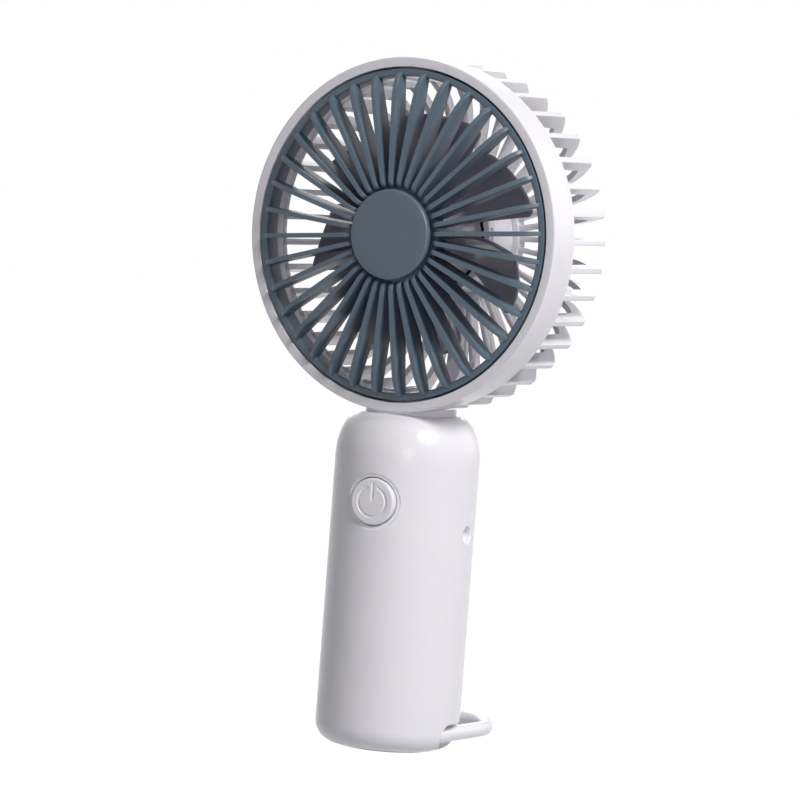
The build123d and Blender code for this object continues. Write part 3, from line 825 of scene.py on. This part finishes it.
def addShoulder(bm, h, ring):
    # quarter-oval shoulder up to the flat round the neck, and the bore below it
    steps = 16
    line = []
    for k in range(1, steps + 1):
        angle = math.pi / 2 * k / steps
        r = h["topFlat"] + (h["radius"] - h["topFlat"]) * math.cos(angle)
        line.append((r, h["shoulder"] + (h["top"] - h["shoulder"]) * math.sin(angle)))
    line += [(h["collarBore"] + 0.2, h["top"]), (h["collarBore"], h["top"] - 0.2), (h["collarBore"], h["top"] - 4.4)]
    joinRings(bm, h, ring, line)


def addFoot(bm, h, ring):
    # the seam's face at the lower end, then the inside wall
    inner = h["radius"] - h["wall"]
    joinRings(bm, h, ring, [(inner, h["seam"]), (inner, h["shoulder"] - 12.0)])


def joinRings(bm, h, ring, line):
    last = ring
    for r, z in line:
        grown = [bm.verts.new(onHandle(r, z, 2 * math.pi * i / h["columns"])) for i in range(h["columns"])]
        for i in range(h["columns"]):
            n = (i + 1) % h["columns"]
            bm.faces.new((last[i], last[n], grown[n], grown[i]))
        last = grown


makeHandle(handle)

neck = {"radius": 13.2, "top": 103.0, "tenon": 10.4, "flange": 13.6, "leadBore": 2.6}


def makeNeck(n):
    bm = bmesh.new()
    segments = 128
    seat = handle["top"] + 0.02
    rings = []
    levels = [(seat, 0.0), (seat + 0.25, 0.0), (None, 0.0)]
    for z, shrink in levels:
        ring = []
        for i in range(segments):
            angle = 2 * math.pi * i / segments
            point = onHandle(n["radius"] - shrink, z or 0.0, angle)
            if z is None:
                # the stub ends on the underside of the barrel
                point.z = (headZ - math.sqrt((barrel["outer"] + 0.05) ** 2 - (point.x / mm) ** 2)) * mm
            ring.append(bm.verts.new(point))
        rings.append(ring)
    for low, high in zip(rings, rings[1:]):
        for i in range(segments):
            j = (i + 1) % segments
            bm.faces.new((low[i], low[j], high[j], high[i]))
    under = roundedLine([
        (n["radius"], seat, 0),
        (n["tenon"], seat, 0.1),
        (n["tenon"], handle["top"] - 4.5, 0.1),
        (n["flange"], handle["top"] - 4.5, 0.2),
        (n["flange"], handle["top"] - 6.4, 0.2),
        (n["leadBore"], handle["top"] - 6.4, 0),
    ], steps=3)
    spin(bm, under, onHandle, segments=segments, closed=False)
    return piece("neckCollar", bm, white, "fan", ["neck_collar"])


makeNeck(neck)
print("handle made")


button = {
    "radius": 6.8,
    "front": -21.55,
    "crown": 0.12,
    "edge": 1.0,
    "flange": 7.6,
    "flangeFront": -16.7,
    "flangeBack": -15.8,
    "stem": 2.0,
    "stemEnd": -9.8,
    "markRadius": 4.35,
    "markWidth": 0.5,
    "markDepth": 0.3,
    "markGap": 24.0,
    "barTop": 5.1,
    "barLow": 0.7,
}


def onButton(r, y, angle):
    return Vector((r * math.cos(angle), y, handle["buttonZ"] + r * math.sin(angle))) * mm


def markCutter(b, path):
    # half-round groove of the power sign
    bm = bmesh.new()
    sweepSection(bm, path, (0, -1, 0), b["markWidth"], b["markDepth"], steps=16)
    return looseObject("markCutter", bm)


def makeButton(b):
    bm = bmesh.new()
    top = [(b["radius"] * 0.8 * k / 6, b["front"] + b["crown"] * (k / 6) ** 2) for k in range(7)]
    rim = roundedLine([
        (top[-1][0], top[-1][1], 0),
        (b["radius"], b["front"] + b["crown"], b["edge"]),
        (b["radius"], b["flangeFront"], 0),
        (b["flange"], b["flangeFront"], 0.1),
        (b["flange"], b["flangeBack"], 0.1),
        (b["stem"], b["flangeBack"], 0),
        (b["stem"], b["stemEnd"], 0.2),
        (0.0, b["stemEnd"], 0),
    ], steps=8)
    spin(bm, top + rim[1:], onButton, segments=96, closed=False)
    # engraved power sign: a ring open at the top and a short bar
    markY = b["front"] + b["crown"] * 0.5
    start = math.radians(90 + b["markGap"])
    sweep = math.radians(360 - 2 * b["markGap"])
    arc = []
    for k in range(73):
        angle = start + sweep * k / 72
        arc.append((b["markRadius"] * math.cos(angle), markY, handle["buttonZ"] + b["markRadius"] * math.sin(angle)))
    bar = []
    for k in range(9):
        bar.append((0, markY, handle["buttonZ"] + b["barLow"] + (b["barTop"] - b["barLow"]) * k / 8))
    bm = cutAway(looseObject("buttonBlank", bm), [markCutter(b, arc), markCutter(b, bar)])
    turnWithHandle(bm)
    return piece("powerButton", bm, white, "button", ["power_button"])


makeButton(button)
print("button made")


base = {
    "radius": 21.0,
    "floor": 0.4,
    "corner": 6.1,
    "top": 11.03,
    "padSeat": 14.1,
    "recessInner": 14.9,
    "recessRound": 3.6,
    "recessFoot": 2.4,
    "pivotZ": 5.2,
}


def recessCutter(b, side):
    # outline of the side recess: round about the pivot, open to the rear and downward
    outline = [(26.0, b["pivotZ"] + b["recessRound"])]
    sweep = math.pi / 2 + math.acos(b["recessFoot"] / b["recessRound"])
    for k in range(25):
        angle = math.pi / 2 + sweep * k / 24
        outline.append((b["recessRound"] * math.cos(angle), b["pivotZ"] + b["recessRound"] * math.sin(angle)))
    outline += [(-b["recessFoot"], -1.0), (26.0, -1.0)]
    bm = bmesh.new()
    rings = []
    for x in (b["recessInner"], 26.0):
        rings.append([bm.verts.new(Vector((side * x, y, z)) * mm) for y, z in outline])
    bm.faces.new(rings[0])
    bm.faces.new(reversed(rings[1]))
    for i in range(len(outline)):
        j = (i + 1) % len(outline)
        bm.faces.new((rings[0][j], rings[0][i], rings[1][i], rings[1][j]))
    return looseObject("recessCutter", bm)


def makeBase(b):
    line = [(0.0, 1.0), (b["padSeat"], 1.0), (b["padSeat"], b["floor"])]
    steps = 14
    for k in range(steps + 1):
        angle = math.pi / 2 * k / steps
        r = b["radius"] - b["corner"] + b["corner"] * math.sin(angle)
        if r > b["padSeat"] + 0.05:
            line.append((r, b["floor"] + b["corner"] * (1 - math.cos(angle))))
    line += [(b["radius"], b["top"]), (0.0, b["top"])]
    bm = bmesh.new()
    spin(bm, line, onHandle, segments=180, closed=False)
    bm = cutAway(looseObject("baseBlank", bm), [recessCutter(b, 1), recessCutter(b, -1)])
    return piece("baseCap", bm, white, "fan", ["base_cap"])


makeBase(base)

pad = {"radius": 14.0, "top": 0.95, "edge": 0.25}


def makePad(p):
    line = roundedLine([
        (0.0, 0.0, 0),
        (p["radius"], 0.0, p["edge"]),
        (p["radius"], p["top"], 0.1),
        (0.0, p["top"], 0),
    ], steps=4)
    bm = bmesh.new()
    spin(bm, line, onHandle, segments=96, closed=False)
    return piece("footPad", bm, footRubber, "fan", ["base_pad"])


makePad(pad)

loop = {"wire": 2.19, "half": 17.5, "straight": 22.0, "pivotZ": 5.2}


def makeLoop(p):
    path = [(p["half"], p["straight"] * k / 6, p["pivotZ"]) for k in range(6)]
    for k in range(49):
        angle = math.pi * k / 48
        path.append((p["half"] * math.cos(angle), p["straight"] + p["half"] * math.sin(angle), p["pivotZ"]))
    path += [(-p["half"], p["straight"] * (5 - k) / 6, p["pivotZ"]) for k in range(6)]
    bm = bmesh.new()
    sweepSection(bm, path, (0, 0, 1), p["wire"], p["wire"], steps=32)
    return piece("hangingLoop", bm, white, "loop", ["hanging_loop"])


makeLoop(loop)
print("base and loop made")


keptPieces = {
    "motor_base": "turnedAluminium",
    "motor_bearings": "machinedSteel",
    "stator_core": "laminatedSteel",
    "stator_coils": "enamelledCopper",
    "motor_board": "greenSolderMask",
    "motor_screws": "machinedSteel",
    "motor_shaft": "machinedSteel",
    "shaft_clip": "machinedSteel",
    "rotor_can": "zincPlatedSteel",
    "magnet_ring": "bondedFerrite",
    "base_screws": "machinedSteel",
    "loop_pins": "machinedSteel",
    "switch_plunger": "mouldedNylonBlack",
    "tact_switch": "mouldedNylonBlack",
    "circuit_board": "greenSolderMask",
    "board_chips": "mouldedEpoxy",
    "board_screws": "machinedSteel",
    "port_socket": "nickelPlatedSteel",
    "battery_cell": "shrinkSleeve",
    "battery_tabs": "nickelStrip",
    "battery_cradle": "naturalNylon",
    "motor_lead_red": "redInsulation",
    "motor_lead_black": "blackInsulation",
}


def dressKeptPieces():
    made = {}
    for node, finish in keptPieces.items():
        if finish not in made:
            made[finish] = hiddenFinish(finish)
        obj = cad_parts[node]
        obj.data.materials.clear()
        obj.data.materials.append(made[finish])


dressKeptPieces()
print("kept pieces dressed")


studio = {
    "floorColour": "#c4c4c8",
    "floorShare": 0.93,
    "floorGlow": 1.067,
    "worldStrength": 0.03,
    "lamps": {
        # name: power, size, place, aim
        "keySoftbox": (19.0, 0.5, (1.08, -0.46, 1.10), (0, 0, 0.11)),
        "frontSoftbox": (2.0, 0.6, (0.75, -1.25, 0.35), (0, 0, 0.14)),
        "rearSoftbox": (1.1, 0.8, (0.55, 1.15, 0.50), (0, 0, 0.14)),
        "backSoftbox": (3.2, 0.9, (-0.80, 1.10, 0.60), (0, 0, 0.12)),
        "topSoftbox": (1.5, 0.6, (0.15, 0.55, 1.15), (0, 0, 0.10)),
    },
}


def seenRays(tree, rays):
    # 1 for what the camera sees straight, in a gloss or through something clear
    first = addNode(tree, "ShaderNodeMath", {"operation": "MAXIMUM"},
                    {0: rays.outputs["Is Camera Ray"], 1: rays.outputs["Is Glossy Ray"]})
    both = addNode(tree, "ShaderNodeMath", {"operation": "MAXIMUM"},
                   {0: first.outputs[0], 1: rays.outputs["Is Transmission Ray"]})
    return both.outputs[0]


def floorPaint(s):
    # matt white paper sweep: it looks white to the camera and still takes the fan's shadow
    material = bpy.data.materials.new("whitePaper")
    material.use_nodes = True
    tree = material.node_tree
    shader = tree.nodes["Principled BSDF"]
    shader.inputs["Roughness"].default_value = 0.9
    where = addNode(tree, "ShaderNodeTexCoord").outputs["Object"]
    fibre = addNode(tree, "ShaderNodeTexNoise", {"Scale": perMetre(1.2)}, {"Vector": where})
    tone = addNode(tree, "ShaderNodeMapRange", {"To Min": 0.985, "To Max": 1.0}, {"Value": fibre.outputs["Fac"]})
    shade = addNode(tree, "ShaderNodeHueSaturation", {"Color": hexColour(s["floorColour"])},
                    {"Value": tone.outputs["Result"]})
    tree.links.new(shade.outputs["Color"], shader.inputs["Base Color"])
    glow = addNode(tree, "ShaderNodeEmission", {"Color": (1, 1, 1, 1), "Strength": s["floorGlow"]})
    rays = addNode(tree, "ShaderNodeLightPath")
    share = addNode(tree, "ShaderNodeMath", {"operation": "MULTIPLY"}, {0: seenRays(tree, rays)})
    share.inputs[1].default_value = s["floorShare"]
    mix = addNode(tree, "ShaderNodeMixShader", {}, {0: share.outputs[0]})
    tree.links.new(shader.outputs[0], mix.inputs[1])
    tree.links.new(glow.outputs[0], mix.inputs[2])
    tree.links.new(mix.outputs[0], tree.nodes["Material Output"].inputs["Surface"])
    return material


def makeFloor(s):
    bm = bmesh.new()
    size = 4.0
    corners = [(-size, -size), (size, -size), (size, size), (-size, size)]
    bm.faces.new([bm.verts.new((x, y, 0.0)) for x, y in corners])
    mesh = bpy.data.meshes.new("paperFloor")
    bm.to_mesh(mesh)
    bm.free()
    floor = bpy.data.objects.new("paperFloor", mesh)
    bpy.context.scene.collection.objects.link(floor)
    floor.data.materials.append(floorPaint(s))


def makeWorld(s):
    # plain white behind the fan, a softer light for everything else
    world = bpy.data.worlds.new("softRoom")
    bpy.context.scene.world = world
    world.use_nodes = True
    tree = world.node_tree
    tree.nodes.clear()
    rays = addNode(tree, "ShaderNodeLightPath")
    seen = addNode(tree, "ShaderNodeBackground", {"Color": (1, 1, 1, 1), "Strength": 1.0})
    room = addNode(tree, "ShaderNodeBackground", {"Color": (0.90, 0.93, 1.0, 1), "Strength": s["worldStrength"]})
    mix = addNode(tree, "ShaderNodeMixShader", {}, {0: seenRays(tree, rays)})
    tree.links.new(room.outputs[0], mix.inputs[1])
    tree.links.new(seen.outputs[0], mix.inputs[2])
    out = addNode(tree, "ShaderNodeOutputWorld")
    tree.links.new(mix.outputs[0], out.inputs["Surface"])


def softLamp(name, power, size, place, aim):
    data = bpy.data.lights.new(name, "AREA")
    data.energy = power
    data.shape = "DISK"
    data.size = size
    lamp = bpy.data.objects.new(name, data)
    bpy.context.scene.collection.objects.link(lamp)
    lamp.location = place
    lamp.rotation_euler = (Vector(aim) - Vector(place)).to_track_quat("-Z", "Y").to_euler()


camera = {
    "aim": (0.0, -13.6, 149.0),
    "distance": 1300.0,
    "azimuth": 31.46,
    "elevation": 1.85,
    "roll": 4.34,
    "tiltDown": 2.089,
    "lens": 203.9,
}


def makeCamera(c):
    azimuth, elevation, roll, tilt = [math.radians(c[k]) for k in ("azimuth", "elevation", "roll", "tiltDown")]
    back = Vector((math.sin(azimuth) * math.cos(elevation), -math.cos(azimuth) * math.cos(elevation),
                   math.sin(elevation)))
    right = Vector((math.cos(azimuth), math.sin(azimuth), 0.0))
    up = back.cross(right)
    leanRight = right * math.cos(roll) + up * math.sin(roll)
    leanUp = up * math.cos(roll) - right * math.sin(roll)
    place = (Vector(c["aim"]) + back * c["distance"]) * mm
    lowBack = back * math.cos(tilt) + leanUp * math.sin(tilt)
    lowUp = leanUp * math.cos(tilt) - back * math.sin(tilt)
    data = bpy.data.cameras.new("photoCamera")
    data.lens = c["lens"]
    data.sensor_width = 36.0
    data.sensor_fit = "HORIZONTAL"
    data.clip_end = 20.0
    view = bpy.data.objects.new("photoCamera", data)
    bpy.context.scene.collection.objects.link(view)
    turn = Matrix((leanRight, lowUp, lowBack)).transposed().to_4x4()
    view.matrix_world = Matrix.Translation(place) @ turn
    bpy.context.scene.camera = view


makeFloor(studio)
makeWorld(studio)
for lampName, lamp in studio["lamps"].items():
    softLamp(lampName, *lamp)
makeCamera(camera)
bpy.context.scene.view_settings.view_transform = "Standard"
print("studio ready")

bpy.context.view_layer.update()
